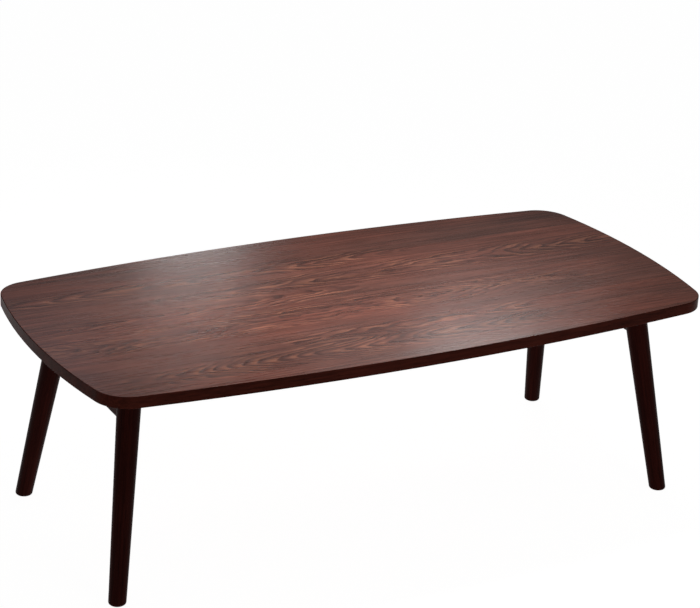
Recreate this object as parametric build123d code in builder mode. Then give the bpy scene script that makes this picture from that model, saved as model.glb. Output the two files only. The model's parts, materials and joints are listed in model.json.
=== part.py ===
from build123d import *
import os
from math import asin, atan2, cos, degrees, hypot, radians, sin, tan

# A low folding table: a barrel-shaped panel on two leg frames that fold in under it.
# Millimetres. The origin is on the floor under the middle of the table, +X runs along
# its length, +Y across it and +Z up. The frames stand open, pressed against the panel.

# Panel
table_length = 1000.0
table_width = 485.0  # across the middle, where it is widest
table_height = 324.0
panel_thickness = 17.0
long_side_radius = 4180.0
short_side_radius = 980.0
corner_radius = 50.0
veneer_thickness = 0.6
band_thickness = 1.0
band_ease = 0.7  # rounding of the band's two outer edges

# Legs, by their axes
leg_to_end = 90.0  # at the underside, from the middle of the panel's end
leg_to_side = 119.5  # at the underside, from the middle of the panel's long side
leg_lean = 41.0  # how much further out along X a leg meets the floor
leg_splay = 57.5  # how much further out along Y
leg_top_radius = 17.25
leg_foot_radius = 12.5
foot_round = 3.5

# Cross board between the two legs of a frame, and its dowels
board_thickness = 15.0
board_depth = 62.0
board_ease = 1.2
dowel_radius = 4.0
dowel_reach = 16.0  # into the leg and into the board
dowel_drops = (17.0, 41.0)  # down the board from the underside
dowel_chamfer = 0.8

# Hinge: a base plate with two ears under the panel, and a leaf with two ears on the board
steel = 1.6
hinge_width = 30.0
hinge_to_leg = 15.75  # gap from the hinge to the leg beside it
pivot_drop = 19.0  # below the underside
pivot_offset = 26.0  # inward from the plane of the leg axes
plate_outer_reach = 10.5  # from the pivot, away from the middle of the table
plate_inner_reach = 44.0  # from the pivot, towards the middle
plate_corner = 4.0
base_ear_radius = 6.5
base_ear_foot = 13.0  # how far the ear's foot runs inward of the pivot
leaf_ear_radius = 6.0
leaf_start = 4.0  # down the board from the underside
leaf_length = 48.0
leaf_ear_foot = 40.0  # length of the ear's foot along the leaf
ear_gap = 0.3  # between a base ear and the leaf ear beside it

# Pivot rivets
rivet_radius = 2.5
rivet_play = 0.08
rivet_head_radius = 4.5
rivet_head = 1.2
rivet_head_taper = 35
rivet_tail_radius = 3.6
rivet_tail = 0.8
rivet_end_play = 0.15

# Pull spring, its stud on the base plate and its cross pin in the leaf
anchor_reach = 34.0  # from the pivot towards the middle of the table
anchor_drop = 6.0  # below the underside
spring_arm = 8.5  # from the pivot to the cross pin
wire_radius = 0.6
coil_radius = 3.75  # to the middle of the wire
coil_pitch = 1.15
coil_turns = 20
coil_start = 6.6  # from the stud to the first turn
stud_radius = 1.3
stud_head_radius = 3.0
stud_head = 1.0
stud_head_taper = 25
stud_headroom = 2.8  # from the spring's eye to the head
stud_eye_radius = 3.0  # to the middle of the wire
stud_eye_shift = 0.4  # the pull draws the eye off centre, towards the cross pin
pin_radius = 1.5
pin_eye_radius = 2.7
pin_eye_shift = 0.25  # towards the stud
pin_ear_margin = 2.2  # metal of the ear around the cross pin

# Screws, all alike but for their length
screw_shank_radius = 1.7
screw_head_radius = 3.6
screw_head = 2.3
screw_head_rim = 0.7
screw_tip = 2.5
screw_slot = (3.8, 0.8, 1.2)  # length, width and depth of the cross recess
plate_hole_radius = 2.1
base_screw_length = 14.0
leaf_screw_length = 12.5
base_inner_screw_edge = 5.5  # from the plate's inner end
base_inner_screw_spread = 9.45  # each side of the hinge's middle
base_outer_screw_edge = 6.5  # from the plate's outer end
base_outer_screw_spread = 6.2
leaf_screw_edges = (7.0, 8.0)  # from the leaf's upper and lower ends
leaf_screw_spread = 6.5

fold_clearance = 0.4  # between the folded feet and the underside

os.makedirs("parts", exist_ok=True)

# Everything below follows from the sizes above.
underside = table_height - panel_thickness
leg_top_x = table_length / 2 - leg_to_end
leg_top_y = table_width / 2 - leg_to_side
lean_angle = atan2(leg_lean, underside)
frame_length = hypot(leg_lean, underside)
leg_axis_length = hypot(frame_length, leg_splay)
hinge_y = leg_top_y - leg_top_radius - hinge_to_leg - hinge_width / 2

pivot_down = (pivot_drop - pivot_offset * sin(lean_angle)) / cos(lean_angle)
pivot_x = leg_top_x + pivot_down * sin(lean_angle) - pivot_offset * cos(lean_angle)
pivot_z = underside - pivot_drop

leaf_width = hinge_width - 2 * steel - 2 * ear_gap
base_ear_y = hinge_width / 2 - steel / 2
leaf_ear_y = leaf_width / 2 - steel / 2

# The foot is cut level and its edge rounded. On the frame's inner side, the middle of that
# rounding lies this far up the leg from the floor and this far out from the leg's axis.
leg_taper = atan2(leg_top_radius - leg_foot_radius, leg_axis_length)
round_start = leg_foot_radius - foot_round / cos(leg_taper)
round_slope = underside / leg_axis_length - tan(leg_taper) * sin(lean_angle)
round_up = (foot_round + round_start * sin(lean_angle)) / round_slope
round_out = round_start + round_up * tan(leg_taper)

# The fold ends where the rounding of the feet comes to the underside.
frame_splay = atan2(leg_splay, frame_length)
foot_down = (leg_axis_length - round_up) * cos(frame_splay) - pivot_down
foot_inward = round_out - pivot_offset
foot_rise = pivot_drop - fold_clearance - foot_round
folded_tilt = asin(foot_rise / hypot(foot_down, foot_inward)) - atan2(foot_inward, foot_down)
fold_angle = radians(90) + lean_angle + folded_tilt

# The spring crosses the pivot half way through the fold, so it holds both ends of it.
anchor_rise = pivot_drop - anchor_drop
arm_angle = atan2(-anchor_rise, -anchor_reach) - fold_angle / 2
pin_inward = spring_arm * cos(arm_angle)
pin_rise = spring_arm * sin(arm_angle)
spring_length = hypot(anchor_reach - pin_inward, anchor_rise - pin_rise)
spring_swing = 2 * asin(spring_arm * sin(fold_angle / 2) / spring_length)

sides = (("left", -1), ("right", 1))
faces = (("front", -1), ("back", 1))


def finish(piece, name):
    """Labels a finished piece and writes it to its own file."""
    piece.part.label = name
    export_step(piece.part, f"parts/{name}.step")


def outline(inset, height):
    """The panel's outline, drawn in by the inset: four bowed sides and four round corners."""
    half_length = table_length / 2
    half_width = table_width / 2
    long_centre = Vector(0, half_width - long_side_radius)
    short_centre = Vector(half_length - short_side_radius, 0)
    to_long = long_side_radius - corner_radius
    to_short = short_side_radius - corner_radius
    between = short_centre - long_centre
    along = (between.length**2 + to_long**2 - to_short**2) / (2 * between.length)
    across = (to_long**2 - along**2) ** 0.5
    unit = between.normalized()
    corner = long_centre + unit * along + Vector(unit.Y, -unit.X) * across
    long_way = (corner - long_centre).normalized()
    short_way = (corner - short_centre).normalized()
    long_end = corner + long_way * (corner_radius - inset)
    short_end = corner + short_way * (corner_radius - inset)
    corner_middle = corner + (long_way + short_way).normalized() * (corner_radius - inset)
    with BuildSketch(Plane.XY.offset(height)) as shape:
        with BuildLine():
            for way in (1, -1):
                ThreePointArc(
                    (-long_end.X, way * long_end.Y),
                    (0, way * (half_width - inset)),
                    (long_end.X, way * long_end.Y),
                )
                ThreePointArc(
                    (way * short_end.X, -short_end.Y),
                    (way * (half_length - inset), 0),
                    (way * short_end.X, short_end.Y),
                )
                for end in (1, -1):
                    ThreePointArc(
                        (end * long_end.X, way * long_end.Y),
                        (end * corner_middle.X, way * corner_middle.Y),
                        (end * short_end.X, way * short_end.Y),
                    )
        make_face()
    return shape.sketch


def bore(planes, radius, depth):
    """Cuts round holes from these planes, against the way they face."""
    with BuildSketch(*planes) as holes:
        Circle(radius)
    extrude(holes.sketch, amount=-depth, mode=Mode.SUBTRACT)


def frame_plane(side):
    """The plane of a frame's two leg axes: y runs up the frame and z points inward."""
    inward = (-side * cos(lean_angle), 0, -sin(lean_angle))
    return Plane(origin=(side * leg_top_x, 0, underside), x_dir=(0, -side, 0), z_dir=inward)


def frame_point(side, down, inward):
    """X and Z of a point this far down a frame and this far inward of its leg axes."""
    x = leg_top_x + down * sin(lean_angle) - inward * cos(lean_angle)
    return (side * x, underside - down * cos(lean_angle) - inward * sin(lean_angle))


def hinge_point(side, inward, rise):
    """X and Z of a point this far inward of a hinge's pivot and this far above it."""
    return (side * (pivot_x - inward), pivot_z + rise)


def leg_radius(down):
    """A leg's radius this far down its frame."""
    return leg_top_radius + (leg_foot_radius - leg_top_radius) * down / frame_length


def leg_y(down):
    """How far a leg's axis is from the middle of the table this far down its frame."""
    return leg_top_y + leg_splay * down / frame_length


def make_leg_blank(side, face):
    """A round tapered leg without its dowel holes, cut level at the floor and the underside."""
    floor_point = Vector(side * (leg_top_x + leg_lean), face * (leg_top_y + leg_splay), 0)
    top_point = Vector(side * leg_top_x, face * leg_top_y, underside)
    up = (top_point - floor_point).normalized()
    outward = Vector(-up.Y, up.X, 0).normalized()
    blank_start = -leg_top_radius
    blank_end = leg_axis_length + leg_top_radius
    with BuildPart() as blank:
        with BuildSketch(Plane(origin=floor_point, x_dir=outward, z_dir=outward.cross(up))):
            Polygon(
                (0, blank_start),
                (leg_foot_radius + blank_start * tan(leg_taper), blank_start),
                (leg_foot_radius + blank_end * tan(leg_taper), blank_end),
                (0, blank_end),
                align=None,
            )
        revolve(axis=Axis(floor_point, up))
        split(bisect_by=Plane.XY, keep=Keep.TOP)
        fillet(blank.edges().sort_by(Axis.Z)[0], radius=foot_round)
        split(bisect_by=Plane.XY.offset(underside), keep=Keep.BOTTOM)
    return blank.part


def dowel_ends(side, face):
    """Planes at the ends of one leg joint's dowels, inside the leg and facing out of it."""
    planes = []
    for drop in dowel_drops:
        x, z = frame_point(side, drop, 0)
        y = leg_y(drop) - leg_radius(drop) + dowel_reach
        planes.append(Plane(origin=(x, face * y, z), x_dir=(1, 0, 0), z_dir=(0, face, 0)))
    return planes


def cross_plane(side, face, centre):
    """The plane of a hinge's outer side, facing along Y, with its origin at this X and Z."""
    x, z = centre
    y = face * hinge_y + hinge_width / 2
    return Plane(origin=(x, y, z), x_dir=(1, 0, 0), z_dir=(0, 1, 0))


def base_screw_seats(side, face):
    """Planes under the heads of the four screws in a hinge's base plate."""
    inner = base_inner_screw_edge - plate_inner_reach
    outer = plate_outer_reach - base_outer_screw_edge
    seats = []
    for reach, spread in ((inner, base_inner_screw_spread), (outer, base_outer_screw_spread)):
        for way in (-1, 1):
            origin = (side * (pivot_x + reach), face * hinge_y + way * spread, underside - steel)
            seats.append(Plane(origin=origin, x_dir=(1, 0, 0), z_dir=(0, 0, -1)))
    return seats


def leaf_screw_seats(side, face):
    """Planes under the heads of the four screws in a hinge's leaf."""
    leaf_face = frame_plane(side).offset(board_thickness / 2 + steel)
    upper = leaf_start + leaf_screw_edges[0]
    lower = leaf_start + leaf_length - leaf_screw_edges[1]
    seats = []
    for down in (upper, lower):
        for way in (-1, 1):
            local = (-side * (face * hinge_y + way * leaf_screw_spread), -down, 0)
            origin = leaf_face.from_local_coords(local)
            seats.append(Plane(origin=origin, x_dir=leaf_face.x_dir, z_dir=leaf_face.z_dir))
    return seats


def make_screws(seats, length):
    """Cross-recess screws with a low domed head, one on each seat."""
    dome_rise = screw_head - screw_head_rim
    dome_radius = (screw_head_radius**2 + dome_rise**2) / (2 * dome_rise)
    dome_angle = degrees(asin(screw_head_radius / dome_radius))
    slot_length, slot_width, slot_depth = screw_slot
    with BuildPart() as screws:
        for seat in seats:
            with BuildSketch(Plane(origin=seat.origin, x_dir=seat.x_dir, z_dir=-seat.y_dir)):
                with BuildLine():
                    CenterArc((0, screw_head - dome_radius), dome_radius, 90 - dome_angle, dome_angle)
                    Polyline(
                        (screw_head_radius, screw_head_rim),
                        (screw_head_radius, 0),
                        (screw_shank_radius, 0),
                        (screw_shank_radius, screw_tip - length),
                        (0, -length),
                        (0, screw_head),
                    )
                make_face()
            revolve(axis=Axis(seat.origin, seat.z_dir))
            with BuildSketch(seat.offset(screw_head)):
                Rectangle(slot_length, slot_width)
                Rectangle(slot_width, slot_length)
            extrude(amount=-slot_depth, mode=Mode.SUBTRACT)
    return screws


def build_ear(y, lobes, foot):
    """Adds an ear at y that wraps round lobes, each a centre and a radius, and a foot."""
    with BuildSketch(Plane.XZ.offset(-y)) as profile:
        for centre, radius in lobes:
            with Locations(centre):
                Circle(radius)
        Polygon(*foot, align=None)
        make_hull()
    extrude(profile.sketch, amount=steel / 2, both=True)


def make_hinge_base(side, face):
    """The plate under the panel with its two ears, which hold the pivot rivets."""
    plate_length = plate_inner_reach + plate_outer_reach
    plate_middle = side * (pivot_x + (plate_outer_reach - plate_inner_reach) / 2)
    pivot = hinge_point(side, 0, 0)
    stud = hinge_point(side, anchor_reach, pivot_drop)
    ear_foot = [
        hinge_point(side, reach, rise)
        for reach, rise in (
            (-base_ear_radius, pivot_drop),
            (-base_ear_radius, pivot_drop - steel),
            (base_ear_foot, pivot_drop - steel),
            (base_ear_foot, pivot_drop),
        )
    ]
    with BuildPart() as hinge_base:
        with BuildSketch(Plane((plate_middle, face * hinge_y, underside - steel))):
            RectangleRounded(plate_length, hinge_width, plate_corner)
        extrude(amount=steel)
        bore(base_screw_seats(side, face), plate_hole_radius, steel)
        bore([Plane((stud[0], face * hinge_y, underside))], stud_radius, steel)
        for way in (-1, 1):
            build_ear(face * hinge_y + way * base_ear_y, [(pivot, base_ear_radius)], ear_foot)
        bore([cross_plane(side, face, pivot)], rivet_radius, hinge_width)
    return hinge_base


def make_hinge_leaf(side, face):
    """The plate on the cross board with its two ears, which turn on the rivets and hold the pin."""
    web_plane = frame_plane(side).offset(board_thickness / 2)
    pivot = hinge_point(side, 0, 0)
    pin = hinge_point(side, pin_inward, pin_rise)
    ear_foot = [
        frame_point(side, down, board_thickness / 2 + lift)
        for down, lift in (
            (leaf_start + plate_corner, 0),
            (leaf_start + plate_corner, steel),
            (leaf_start + leaf_ear_foot, steel),
            (leaf_start + leaf_ear_foot, 0),
        )
    ]
    with BuildPart() as hinge_leaf:
        with BuildSketch(web_plane):
            with Locations((-side * face * hinge_y, -leaf_start - leaf_length / 2)):
                RectangleRounded(leaf_width, leaf_length, plate_corner)
        extrude(amount=steel)
        bore(leaf_screw_seats(side, face), plate_hole_radius, steel)
        for way in (-1, 1):
            build_ear(
                face * hinge_y + way * leaf_ear_y,
                [(pivot, leaf_ear_radius), (pin, pin_radius + pin_ear_margin)],
                ear_foot,
            )
        bore([cross_plane(side, face, pivot)], rivet_radius + rivet_play, hinge_width)
        bore([cross_plane(side, face, pin)], pin_radius, hinge_width)
    return hinge_leaf


def make_spring(side, face):
    """A close-wound pull spring with an eye on the stud and, a quarter turn round, one on the pin."""
    x, z = hinge_point(side, anchor_reach, anchor_rise)
    pin_x, pin_z = hinge_point(side, pin_inward, pin_rise)
    stud = Vector(x, face * hinge_y, z)
    along = Vector(pin_x - x, 0, pin_z - z).normalized()
    across = Vector(0, 1, 0)
    upright = Plane(origin=stud, x_dir=along, z_dir=across)
    flat = Plane(origin=stud, x_dir=along, z_dir=upright.y_dir)
    coil_end = coil_start + (coil_turns - 1) * coil_pitch
    stud_eye_end = stud_eye_shift + stud_eye_radius
    pin_eye_start = spring_length - pin_eye_shift - pin_eye_radius
    with BuildPart() as spring:
        with BuildSketch(upright):
            with Locations((stud_eye_end, 0)):
                Circle(wire_radius)
        revolve(axis=Axis(stud + along * stud_eye_shift, upright.y_dir))
        with BuildSketch(flat):
            with Locations((pin_eye_start, 0)):
                Circle(wire_radius)
        revolve(axis=Axis(stud + along * (spring_length - pin_eye_shift), across))
        with BuildSketch(upright):
            for turn in range(coil_turns):
                with Locations((coil_start + turn * coil_pitch, coil_radius)):
                    Circle(wire_radius)
        revolve(axis=Axis(stud, along))
        for eye, coil in ((stud_eye_end, coil_start), (pin_eye_start, coil_end)):
            with BuildSketch(Plane(origin=stud + along * eye, x_dir=across, z_dir=along)):
                Circle(wire_radius)
            extrude(amount=coil - eye)
            with BuildSketch(upright):
                with Locations((coil, 0)):
                    Circle(wire_radius)
            extrude(amount=coil_radius, both=True)
    return spring


# Panel: a board core between two veneers, with a band round its edge
all_base_seats = [seat for _, side in sides for _, face in faces for seat in base_screw_seats(side, face)]

with BuildPart() as edge_band:
    extrude(outline(0, underside), amount=panel_thickness)
    fillet(edge_band.faces().sort_by(Axis.Z)[0].edges(), radius=band_ease)
    fillet(edge_band.faces().sort_by(Axis.Z)[-1].edges(), radius=band_ease)
    extrude(outline(band_thickness, underside), amount=panel_thickness, mode=Mode.SUBTRACT)
finish(edge_band, "edge_band")

with BuildPart() as top_veneer:
    extrude(outline(band_thickness, table_height - veneer_thickness), amount=veneer_thickness)
finish(top_veneer, "top_veneer")

with BuildPart() as panel_core:
    core_outline = outline(band_thickness, underside + veneer_thickness)
    extrude(core_outline, amount=panel_thickness - 2 * veneer_thickness)
    bore(all_base_seats, screw_shank_radius, base_screw_length)
finish(panel_core, "panel_core")

with BuildPart() as underside_veneer:
    extrude(outline(band_thickness, underside), amount=veneer_thickness)
    bore(all_base_seats, screw_shank_radius, base_screw_length)
finish(underside_veneer, "underside_veneer")

# What the panel carries of the hinges: base plates, their screws, pivot rivets and spring studs
for side_name, side in sides:
    for face_name, face in faces:
        finish(make_hinge_base(side, face), f"{side_name}_{face_name}_hinge_base")

finish(make_screws(all_base_seats, base_screw_length), "base_screws")

with BuildPart() as pivot_rivets:
    rivet_grip = 2 * steel + ear_gap + rivet_end_play
    for _, side in sides:
        for _, face in faces:
            x, z = hinge_point(side, 0, 0)
            for way in (-1, 1):
                ear_side = (x, face * hinge_y + way * hinge_width / 2, z)
                rivet_plane = Plane(origin=ear_side, x_dir=(1, 0, 0), z_dir=(0, way, 0))
                with BuildSketch(rivet_plane):
                    Circle(rivet_head_radius)
                extrude(amount=rivet_head, taper=rivet_head_taper)
                with BuildSketch(rivet_plane):
                    Circle(rivet_radius)
                extrude(amount=-rivet_grip)
                with BuildSketch(rivet_plane.offset(-rivet_grip)):
                    Circle(rivet_tail_radius)
                extrude(amount=-rivet_tail)
finish(pivot_rivets, "pivot_rivets")

with BuildPart() as spring_studs:
    for _, side in sides:
        for _, face in faces:
            x, z = hinge_point(side, anchor_reach, anchor_rise - stud_headroom)
            head_top = Plane((x, face * hinge_y, z))
            with BuildSketch(head_top):
                Circle(stud_radius)
            extrude(amount=underside - z)
            with BuildSketch(head_top):
                Circle(stud_head_radius)
            extrude(amount=-stud_head, taper=stud_head_taper)
finish(spring_studs, "spring_studs")

# The two folding frames
for side_name, side in sides:
    blanks = [make_leg_blank(side, face) for _, face in faces]
    leaf_seats = [seat for _, face in faces for seat in leaf_screw_seats(side, face)]
    joint_ends = [plane for _, face in faces for plane in dowel_ends(side, face)]

    with BuildPart() as cross_board:
        top_y = leg_y(-board_thickness)
        bottom_y = leg_y(board_depth)
        with BuildSketch(frame_plane(side)):
            Polygon(
                (-top_y, board_thickness),
                (-bottom_y, -board_depth),
                (bottom_y, -board_depth),
                (top_y, board_thickness),
                align=None,
            )
        extrude(amount=board_thickness / 2, both=True)
        split(bisect_by=Plane.XY.offset(underside), keep=Keep.BOTTOM)
        fillet(cross_board.edges().filter_by(Axis.Y).sort_by(Axis.Z)[:2], radius=board_ease)
        for blank in blanks:
            add(blank, mode=Mode.SUBTRACT)
        bore(joint_ends, dowel_radius, 2 * dowel_reach)
        bore(leaf_seats, screw_shank_radius, leaf_screw_length)
    finish(cross_board, f"{side_name}_cross_board")

    with BuildPart() as dowels:
        with BuildSketch(*joint_ends):
            Circle(dowel_radius)
        extrude(amount=-2 * dowel_reach)
        chamfer(dowels.edges().filter_by(GeomType.CIRCLE), length=dowel_chamfer)
    finish(dowels, f"{side_name}_dowels")

    with BuildPart() as spring_pins:
        for _, face in faces:
            end = cross_plane(side, face, hinge_point(side, pin_inward, pin_rise))
            with BuildSketch(end.offset(leaf_width / 2 - hinge_width / 2)):
                Circle(pin_radius)
            extrude(amount=-leaf_width)
    finish(spring_pins, f"{side_name}_spring_pins")

    finish(make_screws(leaf_seats, leaf_screw_length), f"{side_name}_leaf_screws")

    for (face_name, face), blank in zip(faces, blanks):
        with BuildPart() as leg:
            add(blank)
            bore(dowel_ends(side, face), dowel_radius, 2 * dowel_reach)
        finish(leg, f"{side_name}_{face_name}_leg")
        finish(make_hinge_leaf(side, face), f"{side_name}_{face_name}_hinge_leaf")
        finish(make_spring(side, face), f"{side_name}_{face_name}_spring")

print(f"frame pivots x {pivot_x:.4f} z {pivot_z:.4f}, fold {degrees(fold_angle):.3f} degrees")
print(f"spring studs x {pivot_x - anchor_reach:.4f} z {pivot_z + anchor_rise:.4f}, y {hinge_y:.4f}")
print(f"spring swing {degrees(spring_swing):.3f} degrees, length {spring_length:.3f}")
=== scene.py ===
import json
import math
from collections import namedtuple

import bpy
from mathutils import Matrix, Vector


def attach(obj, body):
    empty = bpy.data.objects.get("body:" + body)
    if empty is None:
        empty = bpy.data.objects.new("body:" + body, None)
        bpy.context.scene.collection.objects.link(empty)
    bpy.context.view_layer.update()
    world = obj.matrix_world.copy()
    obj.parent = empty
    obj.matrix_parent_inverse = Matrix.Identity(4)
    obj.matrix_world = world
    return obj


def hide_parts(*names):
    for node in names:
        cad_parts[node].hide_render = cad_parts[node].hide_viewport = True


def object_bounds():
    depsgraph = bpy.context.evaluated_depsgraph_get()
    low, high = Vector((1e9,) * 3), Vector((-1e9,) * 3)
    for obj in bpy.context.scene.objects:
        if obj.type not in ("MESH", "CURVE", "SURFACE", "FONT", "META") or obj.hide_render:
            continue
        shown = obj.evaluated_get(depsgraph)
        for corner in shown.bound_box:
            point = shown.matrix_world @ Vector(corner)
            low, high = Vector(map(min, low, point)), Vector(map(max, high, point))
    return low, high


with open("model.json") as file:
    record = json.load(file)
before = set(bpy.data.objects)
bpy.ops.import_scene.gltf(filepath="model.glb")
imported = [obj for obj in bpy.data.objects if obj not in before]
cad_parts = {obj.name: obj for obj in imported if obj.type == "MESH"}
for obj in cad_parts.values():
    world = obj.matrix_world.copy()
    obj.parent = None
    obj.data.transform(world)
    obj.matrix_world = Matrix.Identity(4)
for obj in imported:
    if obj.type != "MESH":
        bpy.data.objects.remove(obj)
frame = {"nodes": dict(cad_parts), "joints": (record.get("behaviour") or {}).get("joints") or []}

cad_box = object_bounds()
nodes = frame["nodes"]
joints = {joint["name"]: joint for joint in frame["joints"]}
TOP_HEIGHT = cad_box[1][2]
SIDES = (("left", -1), ("right", 1))
FACES = (("front", -1), ("back", 1))
UP = Vector((0, 0, 1))


# ---------------------------------------------------------------- node trees

NOISE_LOW, NOISE_HIGH = 0.3, 0.7  # where nearly all of a noise lies


def rgb(red, green, blue):
    return (red, green, blue, 1.0)


class Graph:
    """Builds a node tree: each call adds a node and returns one of its outputs."""

    def __init__(self, tree):
        self.tree = tree
        tree.nodes.clear()

    def add(self, kind, inputs=(), output=0, **settings):
        """Adds a node, with its inputs as {socket: value or output}, and returns an output."""
        node = self.tree.nodes.new(kind)
        for name, value in settings.items():
            setattr(node, name, value)
        for key, value in dict(inputs).items():
            if isinstance(value, bpy.types.NodeSocket):
                self.tree.links.new(value, node.inputs[key])
            else:
                node.inputs[key].default_value = value
        return node.outputs[output] if len(node.outputs) else None

    def point(self):
        """The point on the piece at rest, in metres."""
        return self.add("ShaderNodeTexCoord", output="Object")

    def pointiness(self):
        """How much the surface bends: over 0.5 at an outer edge."""
        return self.add("ShaderNodeNewGeometry", output="Pointiness")

    def math(self, operation, a, b=0.0, c=0.0):
        return self.add("ShaderNodeMath", {0: a, 1: b, 2: c}, operation=operation)

    def product(self, total, *factors):
        for factor in factors:
            total = self.math("MULTIPLY", total, factor)
        return total

    def remap(self, value, low, high, new_low=0.0, new_high=1.0, kind="SMOOTHSTEP"):
        """Takes low to high onto new_low to new_high, and holds the ends."""
        ends = {0: value, 1: low, 2: high, 3: new_low, 4: new_high}
        return self.add("ShaderNodeMapRange", ends, interpolation_type=kind)

    def spread(self, noise, low, high, kind="LINEAR"):
        """Takes the range of a noise onto low to high."""
        return self.remap(noise, NOISE_LOW, NOISE_HIGH, low, high, kind)

    def around(self, noise, mean, width):
        """Values about the mean, this far apart as the noise goes from 0 to 1."""
        return self.math("MULTIPLY_ADD", noise, width, mean - width / 2)

    def noise(self, vector, detail=2.0, roughness=0.5):
        """Noise of one cell per unit of the vector."""
        sockets = {"Vector": vector, "Scale": 1.0, "Detail": detail, "Roughness": roughness}
        return self.add("ShaderNodeTexNoise", sockets)

    def vector(self, x, y, z):
        return self.add("ShaderNodeCombineXYZ", {0: x, 1: y, 2: z})

    def scale(self, vector, factor):
        """A vector or colour times a number."""
        if isinstance(vector, tuple):
            vector = vector[:3]
        return self.add("ShaderNodeVectorMath", {0: vector, 3: factor}, operation="SCALE")

    def stretch(self, vector, factors):
        """A vector times one factor for each axis."""
        return self.add("ShaderNodeVectorMath", {0: vector, 1: factors}, operation="MULTIPLY")

    def mix(self, factor, a, b):
        """Colour a, turned into colour b by the factor."""
        return self.add("ShaderNodeMix", {0: factor, 6: a, 7: b}, 2, data_type="RGBA")

    def bump(self, height, strength, distance):
        sockets = {"Height": height, "Strength": strength, "Distance": distance}
        return self.add("ShaderNodeBump", sockets)

    def light(self, kind, strength):
        """White light, as the emission or background node that kind names."""
        return self.add(kind, {"Color": rgb(1, 1, 1), "Strength": strength})

    def diffuse(self, grey):
        return self.add("ShaderNodeBsdfDiffuse", {"Color": rgb(grey, grey, grey)})

    def mix_shaders(self, factor, a, b):
        """Shader a, turned into shader b by the factor."""
        return self.add("ShaderNodeMixShader", {0: factor, 1: a, 2: b})


def new_graph(name):
    """A new material and its empty graph."""
    material = bpy.data.materials.new(name)
    material.use_nodes = True
    return material, Graph(material.node_tree)


def surface(graph, **sockets):
    """Ends the graph with its shader; each keyword is a socket, with _ for a space."""
    named = {key.replace("_", " "): value for key, value in sockets.items()}
    shader = graph.add("ShaderNodeBsdfPrincipled", named)
    graph.add("ShaderNodeOutputMaterial", {"Surface": shader})


# ---------------------------------------------------------------- veneer

# Planks and bands lie side by side and run along X. Each starts at the Y of its front edge.
# A band's pointed figure lies about its heart, a Y, and its middle, an X, and fades over its
# half width and half length. Rings is the number of growth rings to a metre along the heart,
# and its sign tells which way the points face. Curl is how many rings the lines stray by.
Band = namedtuple("Band", "front heart half_width rings middle half_length curl")
Plank = namedtuple("Plank", "front tone")
Tones = namedtuple("Tones", "red brown dark orange")

# How far apart the grain of two neighbours is taken from the same noise, in its cells
BAND_SHIFT = 7.31
PLANK_SHIFT = 3.57

RINGS_ACROSS = 90.0  # growth rings to a metre, from the heart outward
RINGS_CLOSING = 900.0  # and how they close up there, in rings to a square metre
WANDER_CELLS = 3.4  # of the noise that shifts a band's rings, to a metre
TIP_RADIUS = 0.004  # of the figure's points
SEAM_CORE, SEAM_REACH = 0.0003, 0.0013  # off a seam, where it is darkest and where it ends
SEAM_TONE = 0.85
PORE_START, PORE_FULL = 0.58, 0.7  # the peaks of a noise that are pores
PORE_DEPTH = 0.0003


class Sheet:
    """A veneer's graph, and where the point lies on it."""

    def __init__(self, graph, bands, planks, seed):
        self.graph = graph
        split = graph.add("ShaderNodeSeparateXYZ", {0: graph.point()}).node
        self.x, self.y = split.outputs["X"], split.outputs["Y"]

        flags = self.flags(bands)
        _, *columns = zip(*bands)
        picked = [self.pick(flags, column) for column in columns]
        heart, self.half_width, self.rings, self.middle, self.half_length, self.curl = picked
        self.across = graph.math("ABSOLUTE", graph.math("SUBTRACT", self.y, heart))
        self.band_shift = self.pick(flags, [BAND_SHIFT * (seed + i) for i in range(len(bands))])

        flags = self.flags(planks)
        self.seams = [plank.front for plank in planks[1:]]
        self.plank_tone = self.pick(flags, [plank.tone for plank in planks])
        self.plank_shift = self.pick(flags, [PLANK_SHIFT * (seed + i) for i in range(len(planks))])

    def flags(self, stretches):
        """For each band or plank but the first: whether the point is behind its front edge."""
        return [self.graph.math("GREATER_THAN", self.y, it.front) for it in stretches[1:]]

    def pick(self, flags, values):
        """The value of the band or plank that the point is on."""
        total = values[0]
        for flag, before, after in zip(flags, values, values[1:]):
            total = self.graph.math("MULTIPLY_ADD", flag, after - before, total)
        return total

    def grain(self, along, over, detail=2.0, roughness=0.5, shift=None):
        """Noise with so many cells to a metre along the grain and over it."""
        g = self.graph
        shift = self.plank_shift if shift is None else shift
        spot = g.vector(g.product(self.x, along), g.product(self.y, over), shift)
        return g.noise(spot, detail, roughness)


def growth_rings(sheet):
    """How far the point is through its growth ring, from 0 to 1. The rings run out in points
    along the heart, and close up beside it."""
    g = sheet.graph
    along = g.product(sheet.x, WANDER_CELLS)
    wander = g.noise(g.vector(along, sheet.band_shift, 0.0), 1.0)
    waves = sheet.grain(6.0, 20.0)
    wrinkles = sheet.grain(26.0, 100.0, 3.0, 0.6)
    squared = g.product(sheet.across, sheet.across)
    round_tip = g.math("MULTIPLY_ADD", sheet.across, sheet.across, TIP_RADIUS**2)
    round_tip = g.math("SQRT", round_tip)
    rings = g.product(sheet.x, sheet.rings)
    rings = g.math("MULTIPLY_ADD", wander, g.product(sheet.curl, 4.0), rings)
    rings = g.math("MULTIPLY_ADD", round_tip, RINGS_ACROSS, rings)
    rings = g.math("MULTIPLY_ADD", squared, RINGS_CLOSING, rings)
    rings = g.math("MULTIPLY_ADD", waves, 5.0, rings)
    rings = g.math("MULTIPLY_ADD", wrinkles, sheet.curl, rings)
    return g.math("FRACT", rings)


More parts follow.
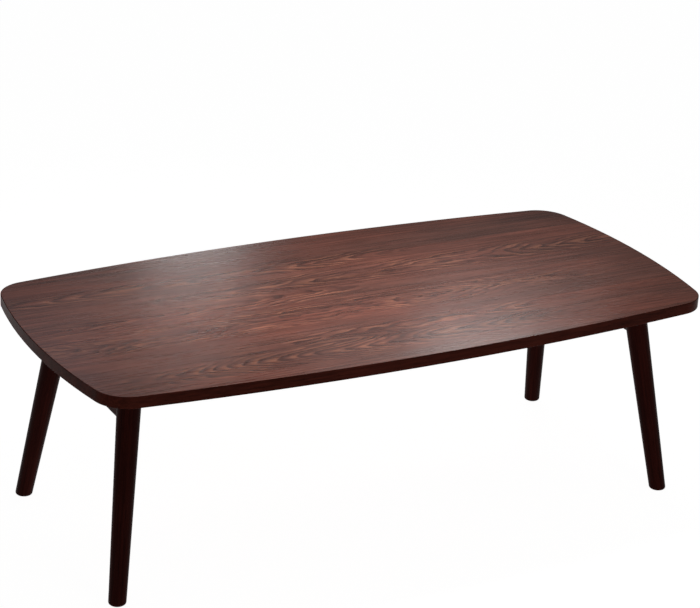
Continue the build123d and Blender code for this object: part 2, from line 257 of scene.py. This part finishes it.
def figure_strength(sheet):
    """From 0 to 1: strong near the heart and the middle, and uneven elsewhere."""
    g = sheet.graph
    past_side = g.math("DIVIDE", sheet.across, sheet.half_width)
    off_middle = g.math("ABSOLUTE", g.math("SUBTRACT", sheet.x, sheet.middle))
    past_end = g.math("DIVIDE", off_middle, sheet.half_length)
    figure = g.product(g.remap(past_side, 1.0, 0.3), g.remap(past_end, 1.6, 0.75))
    uneven = g.product(sheet.grain(4.0, 22.0), 0.7)
    return g.remap(g.math("MULTIPLY_ADD", figure, 0.6, uneven), 0.32, 0.92)


def figure_colour(sheet, tones):
    """Red and brown wood with dark late wood, whose early wood turns orange in places."""
    g = sheet.graph
    ring = growth_rings(sheet)
    strong = figure_strength(sheet)
    # Late wood darkens slowly and ends sharply, and early wood is the other way round.
    late = g.product(g.remap(ring, 0.45, 0.88), g.remap(ring, 1.0, 0.93))
    early = g.product(g.remap(ring, 0.0, 0.07), g.remap(ring, 0.55, 0.14))
    patches = g.remap(sheet.grain(13.0, 55.0, 3.0, 0.6, sheet.band_shift), 0.42, 0.6)
    depth = g.product(late, g.math("MULTIPLY_ADD", strong, 0.68, 0.14))
    flame = g.product(early, patches, strong, 0.75)
    colour = g.mix(g.remap(sheet.grain(1.7, 14.0), 0.32, 0.68), tones.brown, tones.red)
    colour = g.mix(depth, colour, tones.dark)
    return g.mix(flame, colour, tones.orange)


def seam_shade(sheet, seam):
    """A thin darker line where two planks meet."""
    g = sheet.graph
    off = g.math("ABSOLUTE", g.math("SUBTRACT", sheet.y, seam))
    return g.remap(off, SEAM_CORE, SEAM_REACH, SEAM_TONE, 1.0)


def veneer(name, bands, planks, tones, seed, roughness, gloss):
    """Wood veneer in planks, with bands of pointed figure, fine grain and open pores."""
    material, g = new_graph(name)
    sheet = Sheet(g, bands, planks, seed)
    streaks = sheet.grain(8.0, 130.0, 4.0, 0.65)
    lines = sheet.grain(4.0, 230.0, 3.0, 0.6)
    clouds = sheet.grain(7.0, 18.0, 4.0, 0.6)
    hairs = sheet.grain(13.0, 700.0, 3.0, 0.6)
    pores = g.remap(sheet.grain(60.0, 1500.0, 1.0), PORE_START, PORE_FULL)
    shade = g.product(
        g.spread(streaks, 0.8, 1.2),
        g.spread(lines, 0.74, 1.26, "SMOOTHSTEP"),
        g.spread(clouds, 0.84, 1.16, "SMOOTHSTEP"),
        g.spread(hairs, 0.82, 1.18),
        g.math("MULTIPLY_ADD", pores, -0.3, 1.0),
        *(seam_shade(sheet, seam) for seam in sheet.seams),
        sheet.plank_tone,
    )
    surface(
        g,
        Base_Color=g.scale(figure_colour(sheet, tones), shade),
        Roughness=g.around(streaks, roughness, 0.12),
        Specular_IOR_Level=gloss,
        Normal=g.bump(g.math("MULTIPLY_ADD", pores, -0.6, hairs), 0.06, PORE_DEPTH),
    )
    return material


# ---------------------------------------------------------------- lacquer, metal, raw wood

LACQUER_GLOSS = 0.015
LACQUER_ROUGHNESS = 0.38
FIBRE_DEPTH = 0.0003
METAL_GRAIN_DEPTH = 0.0001
X_AXIS, Y_AXIS, Z_AXIS = range(3)


def lacquer(name, colour, axis, turn=(0, 0, 0)):
    """Dark lacquer over wood whose grain runs along one axis of the piece, after a turn."""
    material, g = new_graph(name)
    point = g.point()
    sockets = {"Vector": point, "Rotation": turn}
    turned = g.add("ShaderNodeVectorRotate", sockets, rotation_type="EULER_XYZ")

    def grain(over, along, detail):
        """Noise with so many cells to a metre over the grain and along it."""
        factors = [over, over, over]
        factors[axis] = along
        return g.noise(g.stretch(turned, factors), detail, 0.6)

    fibres = grain(420.0, 6.0, 4.0)
    streaks = grain(60.0, 2.5, 3.0)
    pores = grain(900.0, 40.0, 1.0)
    shade = g.product(
        g.spread(fibres, 0.6, 1.4),
        g.spread(streaks, 0.7, 1.35),
        g.remap(pores, PORE_START, PORE_FULL, 1.0, 0.6),
    )
    worn = g.remap(g.pointiness(), 0.505, 0.56, 0.0, 0.3)
    warm = rgb(*(2.5 * part for part in colour[:3]))
    blotch = g.noise(g.scale(point, 45.0), 3.0)
    surface(
        g,
        Base_Color=g.mix(worn, g.scale(colour, shade), warm),
        Roughness=g.around(blotch, LACQUER_ROUGHNESS, 0.14),
        Specular_IOR_Level=LACQUER_GLOSS,
        Normal=g.bump(fibres, 0.1, FIBRE_DEPTH),
    )
    return material


def metal(name, colour, roughness, metallic=1.0):
    """Metal with a fine uneven finish, dulled patches and a painted highlight on its edges."""
    material, g = new_graph(name)
    point = g.point()
    fine = g.noise(g.scale(point, 900.0), 3.0)
    patch = g.noise(g.scale(point, 90.0), 3.0, 0.6)
    # Painted highlight: sharp edges get a lighter colour, which stands in for a light rim of
    # reflection.
    painted_edge_highlight = g.remap(g.pointiness(), 0.52, 0.6, 0.0, 0.6)
    highlight_colour = rgb(*(min(1.0, 2.2 * part + 0.05) for part in colour[:3]))
    surface(
        g,
        Base_Color=g.mix(painted_edge_highlight, g.scale(colour, g.spread(patch, 0.72, 1.2)), highlight_colour),
        Metallic=metallic,
        Roughness=g.around(patch, roughness, 0.22),
        Normal=g.bump(fine, 0.08, METAL_GRAIN_DEPTH),
    )
    return material


def raw_wood(name, colour):
    """Unfinished board or dowel, seen only where the table is taken apart."""
    material, g = new_graph(name)
    fibre = g.noise(g.scale(g.point(), 300.0), 4.0, 0.6)
    surface(
        g,
        Base_Color=g.scale(colour, g.spread(fibre, 0.8, 1.15)),
        Roughness=0.8,
        Normal=g.bump(fibre, 0.2, FIBRE_DEPTH),
    )
    return material


# ---------------------------------------------------------------- dressing


def dress(node, material):
    """Gives a CAD node its material."""
    slots = nodes[node].data.materials
    slots.clear()
    slots.append(material)


def ease(node, width):
    """Breaks a CAD node's sharp edges by a small bevel, so that they catch the light."""
    bevel = nodes[node].modifiers.new("ease", "BEVEL")
    bevel.width = width
    bevel.segments = 2
    bevel.limit_method = "ANGLE"
    bevel.angle_limit = math.radians(40)


TOP_BANDS = (
    Band(-0.250, -0.180, 0.044, -30.0, -0.11, 0.26, 0.9),
    Band(-0.154, -0.134, 0.034, -8.0, -0.02, 0.20, 1.4),
    Band(-0.114, -0.046, 0.050, 8.0, -0.15, 0.40, 2.4),
    Band(-0.005, 0.024, 0.036, 15.0, -0.22, 0.20, 1.2),
    Band(0.038, 0.067, 0.046, -12.0, 0.17, 0.34, 1.5),
    Band(0.110, 0.131, 0.034, -14.0, -0.24, 0.30, 1.2),
    Band(0.153, 0.205, 0.030, 6.0, 0.50, 0.02, 1.0),
)
TOP_PLANKS = (Plank(-0.250, 0.98), Plank(-0.114, 1.02), Plank(-0.005, 0.98), Plank(0.140, 0.84))
TOP_TONES = Tones(
    red=rgb(0.186, 0.056, 0.037),
    brown=rgb(0.155, 0.055, 0.039),
    dark=rgb(0.062, 0.020, 0.015),
    orange=rgb(0.34, 0.132, 0.078),
)
UNDERSIDE_BANDS = (
    Band(-0.250, -0.180, 0.035, 14.0, 0.10, 0.40, 1.5),
    Band(-0.120, -0.055, 0.040, -24.0, -0.10, 0.45, 1.0),
    Band(0.010, 0.070, 0.040, 18.0, 0.15, 0.40, 1.5),
    Band(0.135, 0.190, 0.035, -12.0, -0.20, 0.35, 1.5),
)
UNDERSIDE_PLANKS = (
    Plank(-0.250, 0.95),
    Plank(-0.120, 1.08),
    Plank(0.010, 0.9),
    Plank(0.135, 1.02),
)
UNDERSIDE_TONES = Tones(
    red=rgb(0.240, 0.075, 0.050),
    brown=rgb(0.190, 0.070, 0.050),
    dark=rgb(0.110, 0.036, 0.025),
    orange=rgb(0.400, 0.155, 0.085),
)
EDGE_COLOUR = rgb(0.050, 0.0098, 0.0060)
LEG_COLOUR = rgb(0.027, 0.0048, 0.0034)
LEG_RUN = Vector((0.041, 0.0575, 0.307))  # top to foot: outward along X, along Y, and down
HINGE_EDGE = 0.00025


def dress_tabletop():
    """Veneer on both faces, lacquer on the edge, and a plain core."""
    top_wood = veneer(
        "top_wood_finish",
        TOP_BANDS,
        TOP_PLANKS,
        TOP_TONES,
        seed=2.0,
        roughness=0.28,
        gloss=0.5,
    )
    underside_wood = veneer(
        "underside_wood_finish",
        UNDERSIDE_BANDS,
        UNDERSIDE_PLANKS,
        UNDERSIDE_TONES,
        seed=11.0,
        roughness=0.42,
        gloss=0.12,
    )
    dress("top_veneer", top_wood)
    dress("underside_veneer", underside_wood)
    dress("panel_core", raw_wood("core_board_finish", rgb(0.42, 0.3, 0.18)))
    dress("edge_band", lacquer("edge_band_finish", EDGE_COLOUR, X_AXIS))


def dress_frames():
    """Lacquer on legs and boards, with the grain along each of them."""
    for side_name, side in SIDES:
        for face_name, face in FACES:
            lean = Vector((side * LEG_RUN.x, face * LEG_RUN.y, -LEG_RUN.z)).normalized()
            turn = lean.rotation_difference(-UP).to_euler()
            leg = f"{side_name}_{face_name}_leg"
            dress(leg, lacquer(f"{leg}_finish", LEG_COLOUR, Z_AXIS, tuple(turn)))
        board = f"{side_name}_cross_board"
        dress(board, lacquer(f"{board}_finish", LEG_COLOUR, Y_AXIS))


def dress_fittings():
    """Raw wood on the dowels, and steel on hinges, screws, rivets, studs and pins."""
    dowel_wood = raw_wood("dowel_wood_finish", rgb(0.55, 0.4, 0.24))
    hinge_steel = metal("hinge_steel_finish", rgb(0.10, 0.09, 0.085), 0.42, metallic=0.85)
    rivet_steel = metal("rivet_steel_finish", rgb(0.42, 0.40, 0.38), 0.38)
    screw_steel = metal("screw_steel_finish", rgb(0.78, 0.77, 0.74), 0.24)
    for name in nodes:
        if name.endswith("dowels"):
            dress(name, dowel_wood)
        elif name.endswith("screws"):
            dress(name, screw_steel)
        elif name.endswith(("rivets", "studs", "pins")):
            dress(name, rivet_steel)
        elif "_hinge_" in name:
            dress(name, hinge_steel)
            ease(name, HINGE_EDGE)


# ---------------------------------------------------------------- springs

WIRE_RADIUS = 0.0006
COIL_RADIUS = 0.00375
COIL_PITCH = 0.00122
COIL_TURNS = 18
COIL_START = 0.0068  # from the stud
STEPS_PER_TURN = 14
EYE_STEPS = 20
PIN_REST = Vector((0.0072823, 0.0043839))  # the cross pin at rest, outward of the pivot and up

# An eye's centre lies this far from the stud or pin, towards the other one. Its wire has this
# radius and runs between these angles, in degrees.
Eye = namedtuple("Eye", "offset radius start end")
STUD_EYE = Eye(0.0004, 0.003, 320, -20)
PIN_EYE = Eye(0.00025, 0.0027, 195, 525)

# The wire's bends between eyes and coil, from the coil's start, from its end and from the near
# side of the pin's eye
BEND_IN = Vector((-0.0012, -0.0006, 0.0004))
BEND_OUT = Vector((0.0012, 0.0004, -0.0008))
PIN_BEND = Vector((-0.0016, 0, -0.0001))


def eye_loop(eye, centre, over):
    """An eye's wire about this X, in the plane of X and the vector over."""
    points = []
    for i in range(EYE_STEPS + 1):
        angle = math.radians(eye.start + (eye.end - eye.start) * i / EYE_STEPS)
        along = centre + eye.radius * math.cos(angle)
        points.append(Vector((along, 0, 0)) + eye.radius * math.sin(angle) * over)
    return points


def coil_loop():
    """The coil's wire about X, from its lowest point to its lowest point."""
    points = []
    for i in range(COIL_TURNS * STEPS_PER_TURN + 1):
        turns = i / STEPS_PER_TURN
        angle = 2 * math.pi * turns - math.pi / 2
        round_x = Vector((0, math.cos(angle), math.sin(angle)))
        points.append(Vector((COIL_START + COIL_PITCH * turns, 0, 0)) + COIL_RADIUS * round_x)
    return points


def spring_path(length):
    """A pull spring's wire along +X from the stud: flat eye, coil, upright eye."""
    coil_end = COIL_START + COIL_PITCH * COIL_TURNS
    pin_centre = length - PIN_EYE.offset
    return [
        *eye_loop(STUD_EYE, STUD_EYE.offset, Vector((0, 1, 0))),
        Vector((COIL_START, 0, 0)) + BEND_IN,
        *coil_loop(),
        Vector((coil_end, 0, 0)) + BEND_OUT,
        Vector((pin_centre - PIN_EYE.radius, 0, 0)) + PIN_BEND,
        *eye_loop(PIN_EYE, pin_centre, UP),
    ]


def make_wire(name, path):
    """A round wire along the path."""
    curve = bpy.data.curves.new(name, "CURVE")
    curve.dimensions = "3D"
    curve.bevel_depth = WIRE_RADIUS
    curve.bevel_resolution = 2
    curve.use_fill_caps = True
    spline = curve.splines.new("POLY")
    spline.points.add(len(path) - 1)
    for point, place in zip(spline.points, path):
        point.co = (*place, 1.0)
    wire = bpy.data.objects.new(name, curve)
    bpy.context.scene.collection.objects.link(wire)
    return wire


def make_spring(side_name, side, face_name, steel):
    """The wound wire that stands for a spring's stack of rings."""
    node = f"{side_name}_{face_name}_spring"
    fold = joints[f"{side_name}_frame_fold"]
    stud = Vector(joints[f"{node}_swing"]["pos_m"])
    pivot = Vector((fold["pos_m"][0], stud.y, fold["pos_m"][2]))
    pin = pivot + Vector((side * PIN_REST.x, 0, PIN_REST.y))
    along = (pin - stud).normalized()
    across = Vector((0, 1, 0))
    turned = Matrix((along, across, along.cross(across))).transposed()
    path = [stud + turned @ place for place in spring_path((pin - stud).length)]
    wire = make_wire(f"{node}_wire", path)
    wire.data.materials.append(steel)
    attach(wire, f"{side_name}_{face_name}_pull_spring")
    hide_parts(node)


def make_springs():
    spring_steel = metal("spring_steel_finish", rgb(0.40, 0.39, 0.38), 0.34)
    for side_name, side in SIDES:
        for face_name, _ in FACES:
            make_spring(side_name, side, face_name, spring_steel)


# ---------------------------------------------------------------- studio

FLOOR_REACH = 30.0
FLOOR_GREY, FLOOR_FILL = 0.8, 0.35  # the floor's grey and its own glow, to diffuse rays
FLOOR_MATTE, FLOOR_GLOW = 0.2, 0.972  # and to the camera, reflections and refractions
STUDIO_GREY = 0.10
HORIZON = 0.07  # the Z of a reflection's direction where the white of the floor ends

CAMERA_AZIMUTH = math.radians(-29.313)
CAMERA_ELEVATION = math.radians(21.801)
CAMERA_ROLL = math.radians(2.877)
CAMERA_TARGET = Vector((-0.19969, -0.33906, 0.46311))
CAMERA_DISTANCE = 2.84321
CAMERA_LENS = 114.175
CAMERA_SENSOR = 36.0

# The lamps that the top mirrors: where the camera sees each one on the top, its size, its
# radiance and, where it isn't white, its colour
Glow = namedtuple("Glow", "name x y size radiance colour", defaults=((1, 1, 1),))
GLOW_DISTANCE = 1.2  # from the top to the lamp
GLOWS = (
    Glow("glow_back", -0.10, 0.36, (0.20, 0.10), 5.2),
    Glow("glow_back_wide", -0.15, 0.32, (0.45, 0.12), 0.6),
    Glow("glow_front", 0.00, -0.35, (0.22, 0.10), 6.5),
    Glow("glow_front_right", 0.15, -0.35, (0.10, 0.05), 4.1),
    Glow("glow_front_left", -0.15, -0.30, (0.22, 0.10), 1.3),
    Glow("glow_left", -0.60, -0.20, (0.30, 0.30), 0.4, (0.8, 0.85, 1.0)),
)


def make_floor():
    """A white floor that keeps the table's shadow and is open to a camera below it. To diffuse
    rays it is pale grey with a glow of its own, which lights the table's underside."""
    mesh = bpy.data.meshes.new("floor")
    reach = FLOOR_REACH
    corners = [(-reach, -reach, 0), (reach, -reach, 0), (reach, reach, 0), (-reach, reach, 0)]
    mesh.from_pydata(corners, [], [(0, 1, 2, 3)])
    floor = bpy.data.objects.new("floor", mesh)
    bpy.context.scene.collection.objects.link(floor)
    material, g = new_graph("floor")
    rays = g.add("ShaderNodeLightPath").node.outputs
    seen = g.math("MAXIMUM", rays["Is Camera Ray"], rays["Is Glossy Ray"])
    seen = g.math("MAXIMUM", seen, rays["Is Transmission Ray"])
    fill = g.light("ShaderNodeEmission", FLOOR_FILL)
    unseen = g.add("ShaderNodeAddShader", {0: g.diffuse(FLOOR_GREY), 1: fill})
    glow = g.light("ShaderNodeEmission", FLOOR_GLOW)
    white = g.add("ShaderNodeAddShader", {0: g.diffuse(FLOOR_MATTE), 1: glow})
    above = g.mix_shaders(seen, unseen, white)
    clear = g.add("ShaderNodeBsdfTransparent")
    below = g.add("ShaderNodeNewGeometry", output="Backfacing")
    g.add("ShaderNodeOutputMaterial", {"Surface": g.mix_shaders(below, above, clear)})
    mesh.materials.append(material)


def make_world():
    """A dim grey studio. It is white to the camera, and in reflections of its horizon and
    of what is below."""
    world = bpy.data.worlds.new("studio")
    world.use_nodes = True
    bpy.context.scene.world = world
    g = Graph(world.node_tree)
    rays = g.add("ShaderNodeLightPath").node.outputs
    direction = g.add("ShaderNodeTexCoord", output="Generated")
    height = g.add("ShaderNodeSeparateXYZ", {0: direction}, "Z")
    low = g.remap(height, HORIZON, 0.0)
    bounced = g.math("MAXIMUM", rays["Is Glossy Ray"], rays["Is Transmission Ray"])
    seen = g.math("MAXIMUM", rays["Is Camera Ray"], g.product(bounced, low))
    grey = g.light("ShaderNodeBackground", STUDIO_GREY)
    white = g.light("ShaderNodeBackground", 1.0)
    g.add("ShaderNodeOutputWorld", {"Surface": g.mix_shaders(seen, grey, white)})


def make_camera():
    """The camera where the photograph was taken from."""
    turned = Matrix.Rotation(CAMERA_AZIMUTH, 3, "Z")
    back = turned @ Vector((0, -math.cos(CAMERA_ELEVATION), math.sin(CAMERA_ELEVATION)))
    right = UP.cross(back).normalized()
    up = back.cross(right)
    turn, lift = math.cos(CAMERA_ROLL), math.sin(CAMERA_ROLL)
    axes = Matrix((turn * right + lift * up, turn * up - lift * right, back)).transposed()
    place = Matrix.Translation(CAMERA_TARGET + back * CAMERA_DISTANCE)
    data = bpy.data.cameras.new("camera")
    data.sensor_width = CAMERA_SENSOR
    data.lens = CAMERA_LENS
    data.clip_start, data.clip_end = 0.05, 100.0
    camera = bpy.data.objects.new("camera", data)
    bpy.context.scene.collection.objects.link(camera)
    camera.matrix_world = place @ axes.to_4x4()
    bpy.context.scene.camera = camera


def make_lamp(name, place, target, size, radiance, colour=(1, 1, 1), glossy=True):
    """A soft box at this place that faces the target; radiance 1 shows as white."""
    data = bpy.data.lights.new(name, "AREA")
    data.shape = "RECTANGLE"
    data.size, data.size_y = size
    data.energy = radiance * math.pi * size[0] * size[1]
    data.color = colour
    lamp = bpy.data.objects.new(name, data)
    bpy.context.scene.collection.objects.link(lamp)
    lamp.location = place
    lamp.rotation_euler = (Vector(target) - Vector(place)).to_track_quat("-Z", "Y").to_euler()
    lamp.visible_camera = False
    lamp.visible_glossy = glossy


def make_glow(glow):
    """A soft box where the camera sees its reflection at the glow's X and Y on the top."""
    spot = Vector((glow.x, glow.y, TOP_HEIGHT))
    way = (spot - bpy.context.scene.camera.matrix_world.translation).normalized()
    way.z = -way.z
    make_lamp(glow.name, spot + GLOW_DISTANCE * way, spot, glow.size, glow.radiance, glow.colour)


def make_lamps():
    make_lamp(
        "key",
        place=(-0.02, -0.04, 0.724),
        target=(-0.02, -0.04, 0.3),
        size=(0.7, 0.2),
        radiance=5.8,
        glossy=False,
    )
    make_lamp(
        "front",
        place=(0.6, -3.0, 0.9),
        target=(0, 0, 0.2),
        size=(1.4, 1.4),
        radiance=1.2,
        glossy=False,
    )
    for glow in GLOWS:
        make_glow(glow)


# ---------------------------------------------------------------- scene

dress_tabletop()
dress_frames()
dress_fittings()
make_springs()
make_floor()
make_world()
make_camera()
make_lamps()
bpy.context.scene.view_settings.view_transform = "Standard"
